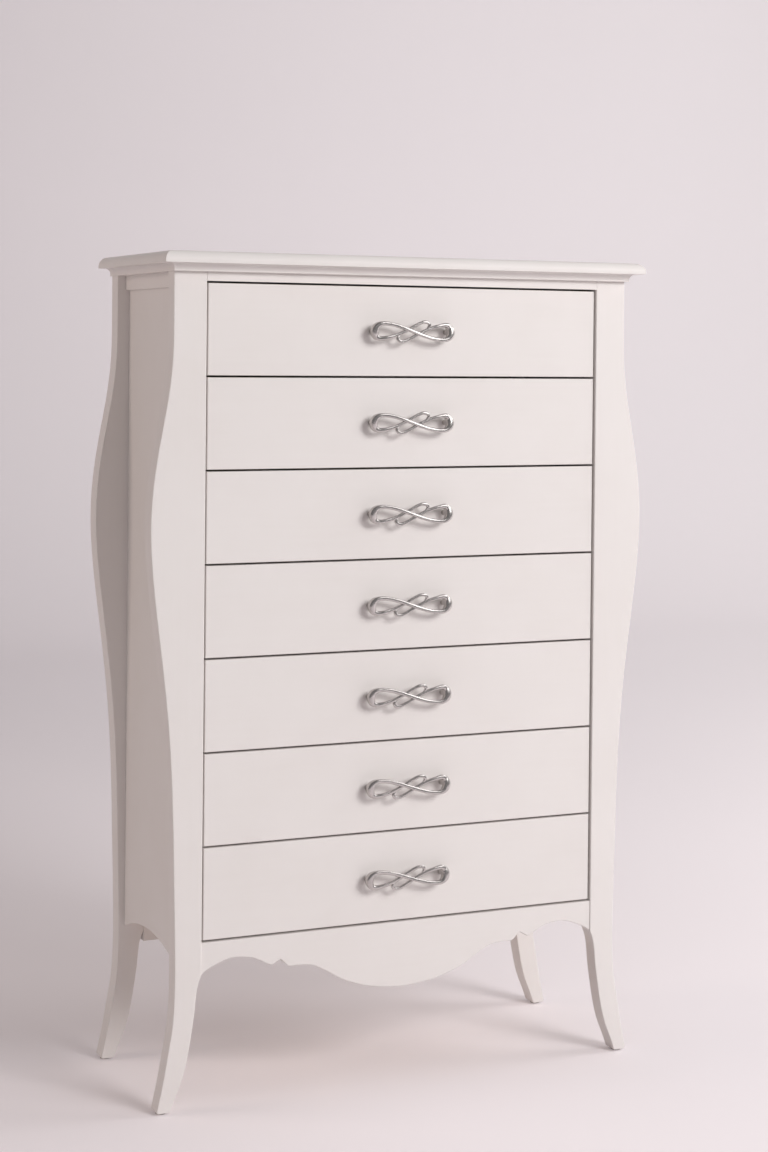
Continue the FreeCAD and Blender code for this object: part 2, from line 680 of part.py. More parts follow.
def handle_shape():
    """A cast handle on two posts: a ribbon in a lying figure of eight, its two ends folded back over the
    middle. It gets deeper where it turns, and it is the same when turned half round.
    Its own Y is 0 at the drawer's face."""
    level = -float(mm.handle_reach)
    folded_level = level + float(mm.strand_step)
    curves, marks = ribbon_lines()
    left_tip, left_start, left_turn, left_end, right_start, right_turn, right_end, right_tip = marks
    solid = band(curves, left_turn, right_turn, level, mm.strand_depth)
    for first, last in ((left_tip, left_turn), (right_turn, right_tip)):
        solid = solid.fuse(band(curves, first, last, folded_level, mm.strand_depth))
    for first, last in ((left_start, left_end), (right_start, right_end)):
        solid = solid.fuse(band(curves, first, last, level, mm.handle_end_depth))
    length = float(mm.handle_reach - mm.strand_depth / 2)
    depth = float(mm.post_bore_depth)
    bore = float(mm.screw_radius + mm.screw_thread_clearance)
    rearward = Vector(0, 1, 0)
    for x in (-float(mm.handle_spacing / 2), float(mm.handle_spacing / 2)):
        post = Part.makeCylinder(float(mm.post_radius), length, Vector(x, -length, 0), rearward)
        hole = Part.makeCylinder(bore, depth + float(mm.overrun), Vector(x, -depth, 0), rearward)
        solid = solid.fuse(post).cut(hole)
    return solid.removeSplitter()


def make_handle(number, shape):
    """A handle at the middle of its drawer front, and the two screws that hold it from inside."""
    height = drawer_low(number) + front_height / 2
    handle = doc.addObject("Part::Feature", f"drawer_{number}_handle")
    handle.Shape = shape.copy()
    bind(handle, Placement__Base__y=drawer_face, Placement__Base__z=height)
    keep(handle, f"drawer_{number}_handle")
    screws = []
    for hand, x in (("left", -mm.handle_spacing / 2), ("right", mm.handle_spacing / 2)):
        name = f"drawer_{number}_{hand}_screw"
        inside = drawer_face + mm.front_thickness
        tip = (x, drawer_face - mm.screw_reach, height)
        shank = rod(f"{name}_shank", mm.screw_radius, mm.front_thickness + mm.screw_reach, tip, "y")
        head = rod(f"{name}_head", mm.screw_head_radius, mm.screw_head_height, (x, inside, height), "y")
        screws.append(fuse(name, shank, head))
    keep(group(f"drawer_{number}_screws", screws), f"drawer_{number}_screws")


make_top()
make_leg("front_left_leg", -1, front, mm.leg_depth)
make_leg("front_right_leg", 1, front, mm.leg_depth)
make_leg("rear_left_leg", -1, before_rear_legs, mm.rear_leg_depth)
make_leg("rear_right_leg", 1, before_rear_legs, mm.rear_leg_depth)
make_side("left", -1)
make_side("right", 1)
make_apron()
make_carcass()
make_runners()
make_pads()
cast_handle = handle_shape()
for drawer in range(1, DRAWER_COUNT + 1):
    make_drawer_front(drawer)
    make_drawer_box(drawer)
    make_handle(drawer, cast_handle)

doc.recompute()
for thing in doc.Objects:
    if {"Invalid", "Error"} & set(thing.State):
        raise RuntimeError(f"{thing.Label} did not build: {thing.State}")
for piece in nodes:
    if piece.Shape.isNull() or not piece.Shape.isValid():
        raise RuntimeError(f"{piece.Label} has no valid shape")

os.makedirs("parts", exist_ok=True)
for piece in nodes:
    piece.Shape.exportStep(f"parts/{piece.Label}.step")
    box = piece.Shape.optimalBoundingBox()
    print(f"{piece.Label}: {len(piece.Shape.Solids)} solids, {piece.Shape.Volume:.0f} mm3,", end=" ")
    print(f"x {box.XMin:.1f} {box.XMax:.1f}, y {box.YMin:.1f} {box.YMax:.1f},", end=" ")
    print(f"z {box.ZMin:.1f} {box.ZMax:.1f}")
print(len(nodes), "nodes")
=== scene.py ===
import math

import bmesh
import bpy
from mathutils import Matrix, Vector


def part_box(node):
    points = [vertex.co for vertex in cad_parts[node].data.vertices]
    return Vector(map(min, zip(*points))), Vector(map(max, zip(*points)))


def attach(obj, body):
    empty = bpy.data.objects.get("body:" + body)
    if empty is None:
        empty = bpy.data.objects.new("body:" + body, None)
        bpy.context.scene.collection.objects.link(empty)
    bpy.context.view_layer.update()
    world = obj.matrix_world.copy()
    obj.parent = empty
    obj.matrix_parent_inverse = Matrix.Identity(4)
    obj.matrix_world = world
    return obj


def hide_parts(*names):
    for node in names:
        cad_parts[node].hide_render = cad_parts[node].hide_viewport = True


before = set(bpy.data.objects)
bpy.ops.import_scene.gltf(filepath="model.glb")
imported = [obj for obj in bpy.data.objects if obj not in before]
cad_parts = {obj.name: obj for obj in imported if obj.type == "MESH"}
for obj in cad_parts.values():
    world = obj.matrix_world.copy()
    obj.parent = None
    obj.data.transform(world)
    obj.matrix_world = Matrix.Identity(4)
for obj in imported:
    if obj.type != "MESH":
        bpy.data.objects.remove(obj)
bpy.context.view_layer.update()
DRAWERS = range(1, 8)


# Finishes

class Value:
    """A shader socket that can stand in a sum or a product."""

    def __init__(self, finish, socket):
        self.finish = finish
        self.socket = socket

    def of(self, output):
        """Another output of the same node."""
        return Value(self.finish, self.socket.node.outputs[output])

    def maths(self, operation, first, second):
        return self.finish.node("ShaderNodeMath", {"operation": operation}, {0: first, 1: second})

    def __add__(self, other):
        return self.maths("ADD", self, other)

    def __sub__(self, other):
        return self.maths("SUBTRACT", self, other)

    def __mul__(self, other):
        return self.maths("MULTIPLY", self, other)

    def __rsub__(self, other):
        return self.maths("SUBTRACT", other, self)

    def __pow__(self, other):
        return self.maths("POWER", self, other)

    __radd__ = __add__
    __rmul__ = __mul__


class Finish:
    """A material with one shader, and short ways to add nodes to it."""

    def __init__(self, name, **constants):
        self.material = bpy.data.materials.new(name)
        self.material.use_nodes = True
        self.tree = self.material.node_tree
        self.shader = self.tree.nodes["Principled BSDF"]
        for socket, value in constants.items():
            self.feed(self.shader.inputs[socket.replace("_", " ")], value)

    def feed(self, socket, value):
        if isinstance(value, Value):
            self.tree.links.new(value.socket, socket)
        elif isinstance(value, tuple) and socket.type == "RGBA":
            socket.default_value = (*value, 1.0)
        else:
            socket.default_value = value

    def node(self, kind, settings, inputs, output=0):
        made = self.tree.nodes.new(kind)
        for setting, value in settings.items():
            setattr(made, setting, value)
        for socket, value in inputs.items():
            self.feed(made.inputs[socket], value)
        return Value(self, made.outputs[output])

    def place(self, scale=(1, 1, 1), turn=(0, 0, 0)):
        where = self.node("ShaderNodeTexCoord", {}, {}, "Object")
        return self.node("ShaderNodeMapping", {}, {"Vector": where, "Scale": scale, "Rotation": turn})

    def noise(self, where, scale, detail=2.0, roughness=0.5, distortion=0.0):
        sizes = {"Vector": where, "Scale": scale, "Detail": detail, "Roughness": roughness}
        return self.node("ShaderNodeTexNoise", {}, {**sizes, "Distortion": distortion}, "Fac")

    def between(self, value, low, high):
        """0 under low, 1 above high, and smooth between them."""
        limits = {"Value": value, "From Min": low, "From Max": high}
        return self.node("ShaderNodeMapRange", {"interpolation_type": "SMOOTHSTEP"}, limits, "Result")

    def mix(self, share, first, second):
        """The first colour where the share is 0 and the second where it is 1."""
        return self.node("ShaderNodeMix", {"data_type": "RGBA"}, {0: share, 6: first, 7: second}, 2)

    def bump(self, height, depth):
        """Relief whose full height is depth metres."""
        return self.node("ShaderNodeBump", {}, {"Height": height, "Distance": depth}, "Normal")

    def finish(self, **links):
        for socket, value in links.items():
            self.feed(self.shader.inputs[socket.replace("_", " ")], value)
        return self.material


def along_grain(axis, stretch):
    """A mapping's scale that draws a pattern out along one axis."""
    return tuple(1 / stretch if number == axis else 1.0 for number in range(3))


def white_lacquer(name, grain):
    """Sprayed warm white satin lacquer: a slight orange peel over closed wood grain."""
    coat = Finish(name, Coat_Weight=0.12, Coat_Roughness=0.28, IOR=1.48)
    flat = coat.place()
    fibres = coat.noise(coat.place(along_grain(grain, 22)), 150, 3, 0.6)
    mottle = coat.noise(flat, 2.3, 3, 0.55)
    cloud = coat.noise(flat, 11, 2, 0.5)
    peel = coat.noise(flat, 420, 1, 0.4)
    warm = coat.mix(mottle, (0.800, 0.760, 0.735), (0.838, 0.804, 0.782))
    tone = coat.mix(coat.between(cloud * 0.7 + fibres * 0.3, 0.35, 0.75) * 0.35, warm, (0.775, 0.730, 0.700))
    sheen = 0.33 + cloud * 0.10 + peel * 0.05
    relief = peel * 0.55 + fibres * 0.45
    return coat.finish(Base_Color=tone, Roughness=sheen, Normal=coat.bump(relief, 0.00006))


def clear_wood(name, grain, pale, dark):
    """Clear-sealed light hardwood: growth bands, fine pores and short ray flecks."""
    board = Finish(name, IOR=1.5)
    long = board.place(along_grain(grain, 9))
    bend = board.noise(long, 5, 2, 0.5)
    where = board.place(along_grain(grain, 14))
    bands = board.noise(where, 34, 4, 0.55, 0.8)
    pores = board.noise(board.place(along_grain(grain, 40)), 700, 2, 0.5)
    flecks = board.between(board.noise(board.place(along_grain(grain, 5)), 420, 1, 0.4), 0.66, 0.74)
    tone = board.mix(board.between(bands * 0.75 + bend * 0.25, 0.32, 0.68), dark, pale)
    tone = board.mix(flecks * 0.35, tone, tuple(value * 0.62 for value in dark))
    tone = board.mix(board.between(pores, 0.58, 0.72) * 0.28, tone, tuple(value * 0.55 for value in dark))
    relief = bands * 0.5 + pores * 0.5 - flecks * 0.2
    return board.finish(Base_Color=tone, Roughness=0.48 + bands * 0.12, Normal=board.bump(relief, 0.00012))


def plywood(name, grain, through):
    """Sanded plywood: wide rotary grain on its faces and thin layers along its edges."""
    sheet = Finish(name, IOR=1.5)
    long = sheet.place(along_grain(grain, 6))
    waves = sheet.noise(long, 9, 3, 0.5, 1.6)
    rings = sheet.node("ShaderNodeMath", {"operation": "PINGPONG"}, {0: waves * 9, 1: 1.0})
    pores = sheet.noise(sheet.place(along_grain(grain, 30)), 520, 2, 0.5)
    figure = sheet.between(rings, 0.15, 0.95) * 0.55 + pores * 0.2
    face = sheet.mix(figure, (0.70, 0.55, 0.37), (0.53, 0.37, 0.21))
    split = sheet.node("ShaderNodeSeparateXYZ", {}, {0: sheet.place()}, through)
    layers = sheet.node("ShaderNodeMath", {"operation": "PINGPONG"}, {0: split, 1: 0.0014})
    edge = sheet.mix(sheet.between(layers, 0.0004, 0.0010), (0.62, 0.47, 0.30), (0.36, 0.24, 0.13))
    normal = sheet.node("ShaderNodeTexCoord", {}, {}, "Normal")
    facing = sheet.node("ShaderNodeSeparateXYZ", {}, {0: normal}, through)
    flat_on = sheet.between(sheet.node("ShaderNodeMath", {"operation": "ABSOLUTE"}, {0: facing}), 0.4, 0.6)
    tone = sheet.mix(flat_on, edge, face)
    relief = pores * 0.6 + waves * 0.4
    return sheet.finish(Base_Color=tone, Roughness=0.52 + pores * 0.14, Normal=sheet.bump(relief, 0.0001))


def satin_nickel(name, tint, rough):
    """Cast and tumbled metal with a satin plating: soft clouds and very fine scratches."""
    metal = Finish(name, Metallic=1.0)
    flat = metal.place()
    clouds = metal.noise(flat, 90, 3, 0.6)
    scratch = metal.noise(metal.place((0.06, 1, 1)), 3800, 2, 0.6)
    grit = metal.noise(flat, 2600, 2, 0.5)
    tone = metal.mix(metal.between(clouds, 0.3, 0.7), tuple(value * 0.88 for value in tint), tint)
    shine = rough + clouds * 0.08 + scratch * 0.07
    relief = scratch * 0.5 + grit * 0.5
    return metal.finish(Base_Color=tone, Roughness=shine, Normal=metal.bump(relief, 0.00002))


def moulded_plastic(name, tint):
    """Matte moulded plastic with a fine grain."""
    plastic = Finish(name)
    grain = plastic.noise(plastic.place(), 900, 2, 0.5)
    scuff = plastic.noise(plastic.place(), 60, 3, 0.6)
    tone = plastic.mix(plastic.between(scuff, 0.45, 0.7) * 0.3, tint, tuple(value * 0.7 for value in tint))
    return plastic.finish(Base_Color=tone, Roughness=0.5 + scuff * 0.15, Normal=plastic.bump(grain, 0.00005))


ACROSS, DEEP, UPRIGHT = range(3)
PALE_BEECH = (0.66, 0.49, 0.31)
DARK_BEECH = (0.52, 0.35, 0.20)
lacquer_across = white_lacquer("lacquer_grain_across", ACROSS)
lacquer_deep = white_lacquer("lacquer_grain_deep", DEEP)
lacquer_upright = white_lacquer("lacquer_grain_upright", UPRIGHT)
beech_across = clear_wood("beech_grain_across", ACROSS, PALE_BEECH, DARK_BEECH)
beech_deep = clear_wood("beech_grain_deep", DEEP, PALE_BEECH, DARK_BEECH)
flat_plywood = plywood("plywood_flat", DEEP, "Z")
upright_plywood = plywood("plywood_upright", UPRIGHT, "Y")
nickel = satin_nickel("satin_nickel", (0.58, 0.555, 0.54), 0.18)
zinc = satin_nickel("bright_zinc", (0.58, 0.59, 0.61), 0.30)
glide_plastic = moulded_plastic("glide_plastic", (0.55, 0.53, 0.50))

NODE_FINISH = {
    "top_board": lacquer_across,
    "front_left_leg": lacquer_upright,
    "front_right_leg": lacquer_upright,
    "rear_left_leg": lacquer_upright,
    "rear_right_leg": lacquer_upright,
    "left_side_panel": lacquer_upright,
    "right_side_panel": lacquer_upright,
    "left_side_rail": lacquer_deep,
    "right_side_rail": lacquer_deep,
    "front_apron": lacquer_across,
    "front_top_rail": lacquer_across,
    "rear_apron": lacquer_across,
    "rear_top_rail": beech_across,
    "back_panel": upright_plywood,
    "case_bottom": flat_plywood,
    "glue_blocks": beech_deep,
    "drawer_runners": beech_deep,
    "foot_pads": glide_plastic,
}
for drawer in DRAWERS:
    NODE_FINISH[f"drawer_{drawer}_front"] = lacquer_across
    NODE_FINISH[f"drawer_{drawer}_sides"] = beech_deep
    NODE_FINISH[f"drawer_{drawer}_back"] = beech_across
    NODE_FINISH[f"drawer_{drawer}_bottom"] = flat_plywood
    NODE_FINISH[f"drawer_{drawer}_handle"] = nickel
    NODE_FINISH[f"drawer_{drawer}_screws"] = zinc
for node, finish in NODE_FINISH.items():
    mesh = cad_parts[node].data
    mesh.materials.clear()
    mesh.materials.append(finish)


# Shapes

class Tree:
    """A geometry node group with named inputs."""

    def __init__(self, name, **inputs):
        self.group = bpy.data.node_groups.new(name, "GeometryNodeTree")
        self.group.interface.new_socket("Geometry", in_out="INPUT", socket_type="NodeSocketGeometry")
        for label, kind in inputs.items():
            self.group.interface.new_socket(label, in_out="INPUT", socket_type=f"NodeSocket{kind}")
        self.group.interface.new_socket("Geometry", in_out="OUTPUT", socket_type="NodeSocketGeometry")
        self.start = self.group.nodes.new("NodeGroupInput")

    def given(self, label):
        return self.start.outputs[label]

    def node(self, kind, settings, inputs, output=0):
        made = self.group.nodes.new(kind)
        for setting, value in settings.items():
            setattr(made, setting, value)
        for socket, value in inputs.items():
            if isinstance(value, bpy.types.NodeSocket):
                self.group.links.new(value, made.inputs[socket])
            else:
                made.inputs[socket].default_value = value
        return made.outputs[output]

    def maths(self, operation, *values):
        return self.node("ShaderNodeMath", {"operation": operation}, dict(enumerate(values)))

    def vector(self, operation, *values):
        return self.node("ShaderNodeVectorMath", {"operation": operation}, dict(enumerate(values)))

    def end(self, geometry, finish):
        plain = self.node("GeometryNodeRealizeInstances", {}, {0: geometry})
        painted = self.node("GeometryNodeSetMaterial", {}, {"Geometry": plain, "Material": finish})
        result = self.group.nodes.new("NodeGroupOutput")
        self.group.links.new(painted, result.inputs[0])


def grown(name, mesh, tree, **values):
    """The plain mesh that a tree makes of a mesh."""
    seed = bpy.data.objects.new(f"{name}_seed", mesh)
    bpy.context.scene.collection.objects.link(seed)
    growth = seed.modifiers.new("growth", "NODES")
    growth.node_group = tree.group
    for item in tree.group.interface.items_tree:
        if item.in_out == "INPUT" and item.name in values:
            growth[item.identifier] = values[item.name]
    bpy.context.view_layer.update()
    result = bpy.data.meshes.new_from_object(seed.evaluated_get(bpy.context.evaluated_depsgraph_get()))
    seed.modifiers.clear()
    bpy.data.objects.remove(seed)
    result.name = name
    return result


def placed(name, mesh, body, slot, *nodes):
    """A finished piece that rides on a body and stands for the CAD nodes named."""
    piece = bpy.data.objects.new(name, mesh)
    bpy.context.scene.collection.objects.link(piece)
    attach(piece, body)
    if nodes:
        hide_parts(*nodes)
    return piece


def turned(profile, sides):
    """A closed round solid about +Y through pairs of radius and Y in metres. The first and last pair lie on
    the axis."""
    shape = bmesh.new()
    rings = []
    for radius, along in profile:
        if radius == 0:
            rings.append([shape.verts.new((0, along, 0))])
            continue
        angles = [2 * math.pi * side / sides for side in range(sides)]
        rings.append([shape.verts.new((radius * math.cos(a), along, radius * math.sin(a))) for a in angles])
    for first, second in zip(rings, rings[1:]):
        for side in range(sides):
            after = (side + 1) % sides
            corners = [first[side % len(first)], first[after % len(first)]]
            corners += [second[after % len(second)], second[side % len(second)]]
            shape.faces.new(list(dict.fromkeys(corners)))
    for face in shape.faces:
        face.smooth = True
    bmesh.ops.recalc_face_normals(shape, faces=shape.faces)
    return shape


def as_mesh(shape, name, finish=None):
    mesh = bpy.data.meshes.new(name)
    shape.to_mesh(mesh)
    shape.free()
    if finish:
        mesh.materials.append(finish)
    return mesh


# The line of a handle's ribbon from its middle round the right end to the folded tip, in millimetres: x, z,
# depth of its middle in front of the drawer, width from edge to edge, thickness from front to rear, and
# roundness, from 0 for a square section to 1 for an ellipse
HANDLE_LINE = [
    (0.0, 0.0, 20.2, 5.8, 4.9, 0.62), (16.0, -5.4, 20.1, 6.1, 4.9, 0.62),
    (32.0, -10.0, 19.9, 6.2, 5.0, 0.62), (46.0, -12.2, 19.5, 6.4, 5.8, 0.62),
    (56.6, -11.6, 18.8, 7.6, 7.6, 0.72), (63.4, -7.2, 16.6, 10.8, 12.0, 0.74),
    (65.9, 0.0, 15.4, 12.4, 13.0, 0.74), (63.4, 7.1, 14.6, 10.8, 12.0, 0.74),
    (57.0, 10.9, 16.8, 7.8, 7.8, 0.72), (45.0, 9.6, 18.6, 6.0, 5.8, 0.62),
    (31.0, 6.1, 18.5, 5.5, 5.0, 0.62), (18.0, 1.0, 18.5, 5.3, 4.8, 0.62),
    (6.6, -4.4, 18.5, 5.2, 4.8, 0.62), (-1.0, -8.6, 18.5, 5.2, 4.8, 0.62),
    (-10.4, -13.0, 18.5, 5.1, 4.8, 0.62), (-17.6, -15.3, 18.6, 5.0, 4.8, 0.62),
    (-24.2, -14.7, 18.7, 4.9, 4.6, 0.62), (-27.4, -11.2, 18.7, 4.7, 4.4, 0.62),
    (-25.7, -7.8, 18.6, 4.0, 4.2, 0.66), (-22.2, -5.2, 18.5, 2.6, 3.8, 0.70),
]
HANDLE_HEIGHT = {}
for drawer in DRAWERS:
    low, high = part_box(f"drawer_{drawer}_front")
    HANDLE_HEIGHT[drawer] = (low.z + high.z) / 2
DRAWER_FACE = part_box("drawer_1_front")[0].y
DRAWER_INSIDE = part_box("drawer_1_front")[1].y
# The places of a handle's two posts and screws across the chest, in metres
POSTS = (-0.064, 0.064)


def lean_at(x):
    """How far the ribbon's front leans at x millimetres: to the left on its left third, to the right and
    up on the rest and round the right end, and not at all round the left end."""
    upright, wave, end = -25, 85, 62
    strand = math.sin(math.pi * (x - upright) / wave) * max(1 - (x / end) ** 6, 0)
    return strand + min(max((x - 50) / 10, 0), 1)


def ribbon_line():
    """The whole line as a mesh of edges in metres, with half its width, half its thickness, its roundness and
    its lean at each point."""
    half = HANDLE_LINE
    rows = [(-x, -z, *rest) for x, z, *rest in reversed(half[1:])] + half
    dense = []
    for number in range(len(rows) - 1):
        before = rows[max(number - 1, 0)]
        start, stop = rows[number], rows[number + 1]
        after = rows[min(number + 2, len(rows) - 1)]
        for step in range(6):
            t = step / 6
            weights = (
                (-t + 2 * t * t - t ** 3) / 2,
                (2 - 5 * t * t + 3 * t ** 3) / 2,
                (t + 4 * t * t - 3 * t ** 3) / 2,
                (t ** 3 - t * t) / 2,
            )
            near = (before, start, stop, after)
            dense.append([sum(w * row[k] for w, row in zip(weights, near)) for k in range(6)])
    dense.append(list(rows[-1]))
    mesh = bpy.data.meshes.new("ribbon_line")
    points = [(x / 1000, -depth / 1000, z / 1000) for x, z, depth, *rest in dense]
    mesh.from_pydata(points, [(number, number + 1) for number in range(len(points) - 1)], [])
    for label, column, unit in (("half_width", 3, 2000), ("half_depth", 4, 2000), ("roundness", 5, 1)):
        values = mesh.attributes.new(label, "FLOAT", "POINT")
        values.data.foreach_set("value", [row[column] / unit for row in dense])
    lean = mesh.attributes.new("lean", "FLOAT", "POINT")
    lean.data.foreach_set("value", [lean_at(row[0]) for row in dense])
    return mesh


def ribbon_tree():
    """A rounded band that follows a line, its front turned a little as the line's lean says."""
    tree = Tree("ribbon", Rings="Int", Sides="Int", Finish="Material")
    line = tree.node("GeometryNodeMeshToCurve", {}, {"Mesh": tree.given("Geometry")})
    counts = {"Vertices X": tree.given("Rings"), "Vertices Y": tree.given("Sides")}
    grid = tree.node("GeometryNodeMeshGrid", {}, {"Size X": 1.0, "Size Y": 1.0, **counts}, "Mesh")
    position = tree.node("GeometryNodeInputPosition", {}, {})
    spot = tree.node("ShaderNodeSeparateXYZ", {}, {0: position}, "X").node
    factor = tree.maths("ADD", spot.outputs["X"], 0.5)
    angle = tree.maths("MULTIPLY", spot.outputs["Y"], 2 * math.pi)

    def sampled(attribute):
        kind = {"data_type": "FLOAT"}
        value = tree.node("GeometryNodeInputNamedAttribute", kind, {"Name": attribute}, "Attribute")
        inputs = {"Curves": line, "Value": value, "Factor": factor}
        settings = {"data_type": "FLOAT", "mode": "FACTOR", "use_all_curves": True}
        return tree.node("GeometryNodeSampleCurve", settings, inputs, "Value")

    def rounded(function, half_size):
        bare = tree.maths(function, angle)
        bulged = tree.maths("POWER", tree.maths("ABSOLUTE", bare), roundness)
        signed = tree.maths("MULTIPLY", bulged, tree.maths("SIGN", bare))
        return tree.maths("MULTIPLY", signed, half_size)

    roundness = sampled("roundness")
    half_width = sampled("half_width")
    half_depth = sampled("half_depth")
    here = half_width.node.outputs["Position"]
    tangent = half_width.node.outputs["Tangent"]
    lean = sampled("lean")
    turned_up = tree.maths("MULTIPLY", tree.maths("MAXIMUM", lean, 0.0), -0.17)
    aside = tree.node("ShaderNodeCombineXYZ", {}, {"X": tree.maths("MULTIPLY", lean, -0.13), "Z": turned_up})
    leaning = tree.vector("ADD", (0, 1, 0), aside)
    across = tree.vector("NORMALIZE", tree.vector("CROSS_PRODUCT", tangent, leaning))
    rearward = tree.vector("NORMALIZE", tree.vector("CROSS_PRODUCT", across, tangent))
    ends = tree.maths("MULTIPLY", factor, tree.maths("SUBTRACT", 1.0, factor))
    closing = tree.maths("POWER", tree.maths("MINIMUM", tree.maths("MULTIPLY", ends, 90.0), 1.0), 0.5)
    wide = tree.maths("MULTIPLY", rounded("COSINE", half_width), closing)
    deep = tree.maths("MULTIPLY", rounded("SINE", half_depth), closing)
    sideways = tree.node("ShaderNodeVectorMath", {"operation": "SCALE"}, {0: across, "Scale": wide})
    forward = tree.node("ShaderNodeVectorMath", {"operation": "SCALE"}, {0: rearward, "Scale": deep})
    target = tree.vector("ADD", here, tree.vector("ADD", sideways, forward))
    skin = tree.node("GeometryNodeSetPosition", {}, {"Geometry": grid, "Position": target})
    closed = tree.node("GeometryNodeMergeByDistance", {}, {"Geometry": skin, "Distance": 0.000002})
    smooth = tree.node("GeometryNodeSetShadeSmooth", {}, {"Geometry": closed})
    tree.end(smooth, tree.given("Finish"))
    return tree


def set_out_tree():
    """One small piece repeated at every point of a mesh."""
    tree = Tree("set_out", Piece="Object", Finish="Material")
    piece = tree.node("GeometryNodeObjectInfo", {}, {"Object": tree.given("Piece")}, "Geometry")
    inputs = {"Points": tree.given("Geometry"), "Instance": piece}
    spread = tree.node("GeometryNodeInstanceOnPoints", {}, inputs)
    tree.end(spread, tree.given("Finish"))
    return tree


def make_handles():
    """The seven handles: the ribbon and its two waisted posts."""
    band = grown("ribbon", ribbon_line(), ribbon_tree(), Rings=301, Sides=29, Finish=nickel)
    whole = bmesh.new()
    whole.from_mesh(band)
    bmesh.ops.recalc_face_normals(whole, faces=whole.faces)
    profile = [(0, 0), (0.0041, 0), (0.0044, -0.0003), (0.0044, -0.0008)]
    profile += [(0.0041, -0.0018), (0.0039, -0.0030), (0.0039, -0.0180), (0, -0.0180)]
    for x in POSTS:
        post = as_mesh(turned(profile, 32), "post")
        post.transform(Matrix.Translation((x, 0, 0)))
        whole.from_mesh(post)
    shape = as_mesh(whole, "handle", nickel)
    for drawer in DRAWERS:
        mesh = shape.copy()
        mesh.transform(Matrix.Translation((0, DRAWER_FACE, HANDLE_HEIGHT[drawer])))
        name = f"handle_{drawer}"
        placed(name, mesh, f"drawer_{drawer}", "satin_nickel", f"drawer_{drawer}_handle")


def screw_pattern():
    """A pan-head machine screw with a cross recess, its head's seat at Y 0."""
    profile = [(0, -0.030), (0.0014, -0.030), (0.0020, -0.0292), (0.0020, -0.0001), (0.0020, 0.0)]
    profile += [(0.0040, 0.0), (0.0042, 0.0004), (0.0042, 0.0011)]
    profile += [(0.0037, 0.0019), (0.0026, 0.0023), (0, 0.0024)]
    screw = bpy.data.objects.new("screw_pattern", as_mesh(turned(profile, 28), "screw"))
    bpy.context.scene.collection.objects.link(screw)
    cutter = bmesh.new()
    for turn in (0, math.pi / 2):
        size = Matrix.Diagonal((0.0044, 0.0030, 0.0008, 1))
        place = Matrix.Translation((0, 0.0027, 0)) @ Matrix.Rotation(turn, 4, "Y") @ size
        bmesh.ops.create_cube(cutter, size=1, matrix=place)
    recess = bpy.data.objects.new("recess", as_mesh(cutter, "recess"))
    bpy.context.scene.collection.objects.link(recess)
    cut = screw.modifiers.new("recess", "BOOLEAN")
    cut.object = recess
    cut.use_self = True
    bpy.context.view_layer.update()
    mesh = bpy.data.meshes.new_from_object(screw.evaluated_get(bpy.context.evaluated_depsgraph_get()))
    screw.modifiers.clear()
    screw.data = mesh
    bpy.data.objects.remove(recess)
    return screw


def spots(points):
    mesh = bpy.data.meshes.new("spots")
    mesh.from_pydata(points, [], [])
    return mesh


def make_screws():
    """Two screws behind each drawer front."""
    tree = set_out_tree()
    pattern = screw_pattern()
    for drawer in DRAWERS:
        points = [(x, DRAWER_INSIDE, HANDLE_HEIGHT[drawer]) for x in POSTS]
        mesh = grown(f"screws_{drawer}", spots(points), tree, Piece=pattern, Finish=zinc)
        placed(f"screws_{drawer}", mesh, f"drawer_{drawer}", "screw_steel", f"drawer_{drawer}_screws")
    bpy.data.objects.remove(pattern)


def make_nails():
    """Flat nails round the edge of the back panel."""
    profile = [(0, 0), (0.0030, 0), (0.0034, 0.0003), (0.0030, 0.0007), (0.0012, 0.0009), (0, 0.0009)]
    nail = bpy.data.objects.new("nail_pattern", as_mesh(turned(profile, 16), "nail"))
    bpy.context.scene.collection.objects.link(nail)
    low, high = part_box("back_panel")
    from_side, from_foot, from_head = 0.008, 0.018, 0.012
    lowest, highest = low.z + from_foot, high.z - from_head
    points = []
    for step in range(10):
        height = lowest + (highest - lowest) * step / 9
        points += [(low.x + from_side, high.y, height), (high.x - from_side, high.y, height)]
    for step in range(1, 6):
        x = low.x + (high.x - low.x) * step / 6
        points += [(x, high.y, lowest), (x, high.y, highest)]
    mesh = grown("back_nails", spots(points), set_out_tree(), Piece=nail, Finish=zinc)
    placed("back_nails", mesh, "case", "screw_steel")
    bpy.data.objects.remove(nail)


make_handles()
make_screws()
make_nails()


# Floor, light and camera

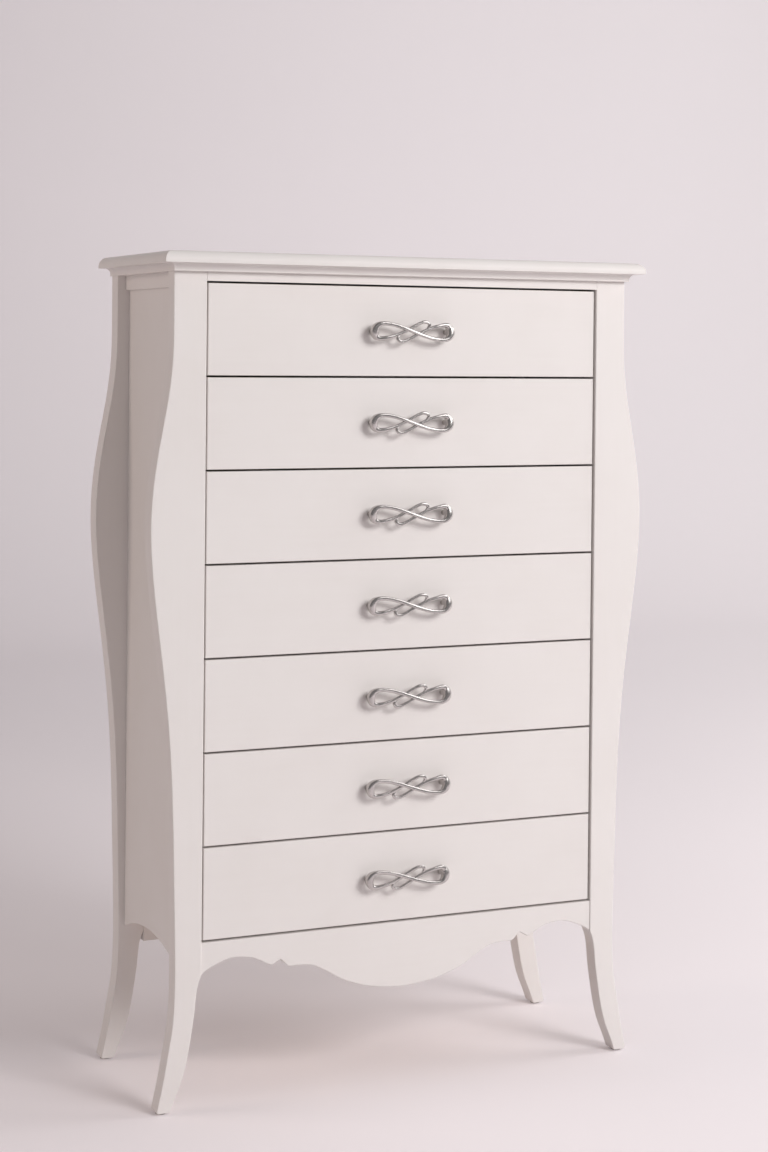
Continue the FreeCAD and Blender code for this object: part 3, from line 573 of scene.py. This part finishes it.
def make_stage():
    """A pale paper sweep: floor, a wide bend and the wall behind. It glows for camera, glossy and
    transmission rays, dimly on its left and more towards its right: painted light on the right and painted
    shade on the left.
    """
    paper = Finish("paper_sweep", Roughness=0.85, Emission_Strength=0.395)
    flat = paper.place()
    fibre = paper.noise(flat, 60, 3, 0.6)
    cloud = paper.noise(flat, 0.7, 2, 0.5)
    tone = paper.mix(cloud, (0.81, 0.755, 0.775), (0.85, 0.795, 0.815))
    # Painted light: the glow grows from left to right, so the right looks lit and the floor on the left stays
    # in painted shade.
    ray = paper.node("ShaderNodeLightPath", {}, {}, "Is Camera Ray")
    seen = ray + ray.of("Is Glossy Ray") + ray.of("Is Transmission Ray")
    across = paper.node("ShaderNodeSeparateXYZ", {}, {0: flat}, "X")
    share = 0.165 + paper.between(across, -2.0, 5.5) * 0.835
    painted_glow = paper.mix(seen * share, (0.0, 0.0, 0.0), (1.0, 0.945, 0.96))
    material = paper.finish(Base_Color=tone, Normal=paper.bump(fibre, 0.0002), Emission_Color=painted_glow)
    front, rear, bend, height, side = -3.2, 4.6, 1.8, 9.0, 9.0
    profile = [(front, 0.0), (rear, 0.0)]
    for step in range(1, 17):
        angle = math.pi / 2 * step / 16
        profile.append((rear + bend * math.sin(angle), bend - bend * math.cos(angle)))
    profile.append((rear + bend, height))
    mesh = bpy.data.meshes.new("sweep")
    points = [(x, y, z) for y, z in profile for x in (-side, side)]
    mesh.from_pydata(points, [], [(2 * n, 2 * n + 1, 2 * n + 3, 2 * n + 2) for n in range(len(profile) - 1)])
    for polygon in mesh.polygons:
        polygon.use_smooth = True
    mesh.materials.append(material)
    sweep = bpy.data.objects.new("sweep", mesh)
    bpy.context.scene.collection.objects.link(sweep)


def soft_box(name, place, target, width, height, power, tint):
    lamp = bpy.data.lights.new(name, "AREA")
    lamp.shape = "RECTANGLE"
    lamp.size, lamp.size_y = width, height
    lamp.energy = power
    lamp.color = tint
    box = bpy.data.objects.new(name, lamp)
    bpy.context.scene.collection.objects.link(box)
    box.location = place
    box.rotation_euler = (Vector(target) - Vector(place)).to_track_quat("-Z", "Y").to_euler()
    return box


def make_light():
    """Two keys in front to the right, of which one doesn't show in the metal, a warm fill on the left, and
    two weaker boxes for the right end and the backdrop."""
    pale = (1.0, 0.985, 0.985)
    warm = (1.0, 0.85, 0.75)
    lower_front = (0.1, 0, 0.45)
    key = soft_box("key", (2.0, -4.6, 3.0), lower_front, 2.0, 2.0, 139, pale)
    key.visible_glossy = False
    soft_box("wide_key", (3.0, -4.2, 3.0), lower_front, 2.6, 2.0, 58, pale)
    soft_box("right_card", (4.6, -0.9, 1.3), (0, -0.1, 0.8), 2.4, 2.6, 16, pale)
    soft_box("side_fill", (-3.4, 0.9, 1.9), (0, 0.1, 1.0), 1.6, 2.0, 25, warm)
    soft_box("backdrop_light", (3.4, -0.6, 3.0), (2.6, 1.6, 0.2), 1.8, 1.8, 44, pale)
    world = bpy.data.worlds.new("studio")
    bpy.context.scene.world = world
    world.use_nodes = True
    sky = world.node_tree.nodes["Background"]
    sky.inputs["Color"].default_value = (1.0, 0.96, 0.97, 1.0)
    sky.inputs["Strength"].default_value = 0.25


def make_camera():
    yaw, pitch, roll = (math.radians(angle) for angle in (24.40, 0.67, 0.54))
    forward = Vector((math.sin(yaw) * math.cos(pitch), math.cos(yaw) * math.cos(pitch), -math.sin(pitch)))
    level = Vector((math.cos(yaw), -math.sin(yaw), 0))
    upright = level.cross(forward)
    right = level * math.cos(roll) + upright * math.sin(roll)
    up = upright * math.cos(roll) - level * math.sin(roll)
    lens = bpy.data.cameras.new("camera")
    lens.lens = 68.34
    lens.shift_y = -0.1725
    camera = bpy.data.objects.new("camera", lens)
    bpy.context.scene.collection.objects.link(camera)
    axes = Matrix((right, up, -forward)).transposed().to_4x4()
    camera.matrix_world = Matrix.Translation((-1.4532, -3.2485, 1.1497)) @ axes
    bpy.context.scene.camera = camera


make_stage()
make_light()
make_camera()
bpy.context.scene.view_settings.view_transform = "Standard"
